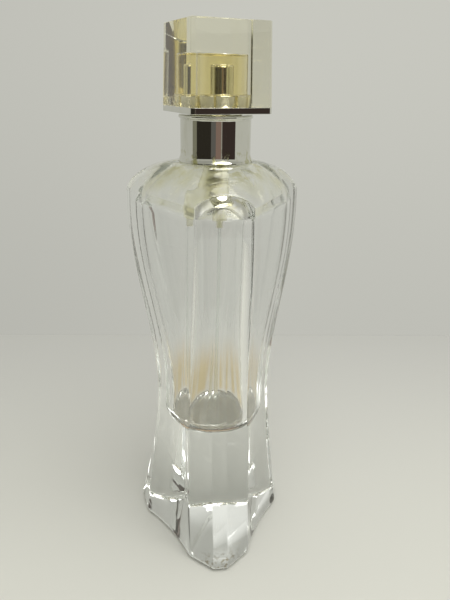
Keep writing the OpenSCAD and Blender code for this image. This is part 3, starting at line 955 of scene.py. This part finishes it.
def make_floor():
    """A pale slab, a hair below the foot, whose far edge is the line behind the bottle."""
    width, front, back, thick, lip = 640.0, 330.0, 162.0, 12.0, 6.0
    turn = math.radians(-4.9)
    gap = 0.02
    bm = bmesh.new()
    corners = [(-width / 2, -front), (width / 2, -front), (width / 2, back), (-width / 2, back)]
    bm.faces.new([bm.verts.new((x * MM, y * MM, 0)) for x, y in corners])
    result = bmesh.ops.extrude_face_region(bm, geom=list(bm.faces))
    for v in result["geom"]:
        if isinstance(v, bmesh.types.BMVert):
            v.co.z -= thick * MM
    bmesh.ops.recalc_face_normals(bm, faces=bm.faces)
    mesh = bpy.data.meshes.new("table")
    bm.to_mesh(mesh)
    bm.free()
    obj = link_object("table", mesh)
    obj.location.z = -gap * MM
    obj.rotation_euler.z = turn
    apply_modifier(obj, "BEVEL", width=lip * MM, segments=8, limit_method="ANGLE")
    sharpen(obj, 30)
    dress(obj, table_material())


def make_card(name, first, last, colour):
    """An upright curved card between two angles from -Y towards +X.

    The camera doesn't see it, except in reflections and through glass.
    """
    low, high, distance = -420, 330, 600
    steps = 10
    vertices, faces = [], []
    for i in range(steps + 1):
        a = math.radians(blend(first, last, i / steps))
        x, y = distance * math.sin(a), -distance * math.cos(a)
        vertices += [(x, y, low), (x, y, high)]
    for i in range(steps):
        faces.append((2 * i, 2 * i + 1, 2 * i + 3, 2 * i + 2))
    obj = new_object(name, vertices, faces)
    dress(obj, glow_material(name + "_tone", colour))
    obj.visible_camera = False
    obj.visible_diffuse = False
    obj.visible_shadow = False
    obj.visible_volume_scatter = False


def make_world():
    """A soft room: pale below, a darker band above the eye and a bright ceiling, dimmer to the left."""
    world = bpy.data.worlds.new("soft_room")
    bpy.context.scene.world = world
    world.use_nodes = True
    tree = world.node_tree
    tree.nodes.clear()
    direction = add(tree, "ShaderNodeTexCoord").outputs["Generated"]
    parts = add(tree, "ShaderNodeSeparateXYZ", Vector=direction)
    up = parts.outputs["Z"]
    low = mix_colour(tree, ramp(tree, up, -0.45, 0.1), (0.50, 0.50, 0.455), (0.555, 0.555, 0.505))
    wall = mix_colour(tree, ramp(tree, up, 0.35, 0.6), low, (0.40, 0.40, 0.36))
    sky = mix_colour(tree, ramp(tree, up, 0.7, 0.88), wall, (0.85, 0.85, 0.80))
    side = ramp(tree, parts.outputs["X"], -0.4, 0.25)
    shaded = mix_colour(tree, 1.0, sky, mix_colour(tree, side, (0.94, 0.94, 0.94), (1.03, 1.03, 1.03)))
    shaded.node.blend_type = "MULTIPLY"
    background = add(tree, "ShaderNodeBackground", Color=shaded, Strength=1.0)
    out = add(tree, "ShaderNodeOutputWorld")
    tree.links.new(background.outputs[0], out.inputs["Surface"])


def make_light():
    """One large soft disk overhead."""
    location, aim = Vector((80, -180, 500)), Vector((0, 20, 40))
    data = bpy.data.lights.new("softbox", "AREA")
    data.shape = "DISK"
    data.size = 460 * MM
    data.energy = 1.85
    data.color = (1.0, 0.99, 0.96)
    obj = link_object("softbox", data)
    obj.location = location * MM
    obj.rotation_euler = (aim - location).to_track_quat("-Z", "Y").to_euler()


def make_camera():
    """Close hand-held view, slightly to the left of the front corner and looking down."""
    heading, pitch, roll = (math.radians(a) for a in (6.89, 20.618, -0.896))
    spot = Vector((-17.06, -169.41, 146.42))
    forward = Vector((math.sin(heading) * math.cos(pitch), math.cos(heading) * math.cos(pitch),
                      -math.sin(pitch)))
    right = Vector((math.cos(heading), -math.sin(heading), 0))
    up = right.cross(forward)
    x = right * math.cos(roll) - up * math.sin(roll)
    y = right * math.sin(roll) + up * math.cos(roll)
    data = bpy.data.cameras.new("camera")
    data.lens = 34.8
    data.sensor_width = 36
    data.clip_start = 0.005
    obj = link_object("camera", data)
    basis = Matrix((x, y, -forward)).transposed().to_4x4()
    obj.matrix_world = Matrix.Translation(spot * MM) @ basis
    bpy.context.scene.camera = obj


make_floor()
make_world()
make_light()
for card in (
        ("card_olive", -84, -68, (0.22, 0.215, 0.16)),
        ("card_left", -68, -20, (0.030, 0.026, 0.020)),
        ("card_grey", -20, -5, (0.125, 0.12, 0.11)),
        ("card_rose", -5, 12, (0.24, 0.165, 0.135)),
        ("card_line", 12, 15, (0.36, 0.34, 0.30)),
        ("card_right", 15, 60, (0.045, 0.032, 0.028))):
    make_card(*card)
make_camera()
bpy.context.scene.view_settings.view_transform = "Standard"

# Light crosses many faces of clear glass, and turns back inside it, before it leaves
paths = bpy.context.scene.cycles
paths.max_bounces = 32
paths.glossy_bounces = 20
paths.transmission_bounces = 32
paths.transparent_max_bounces = 16
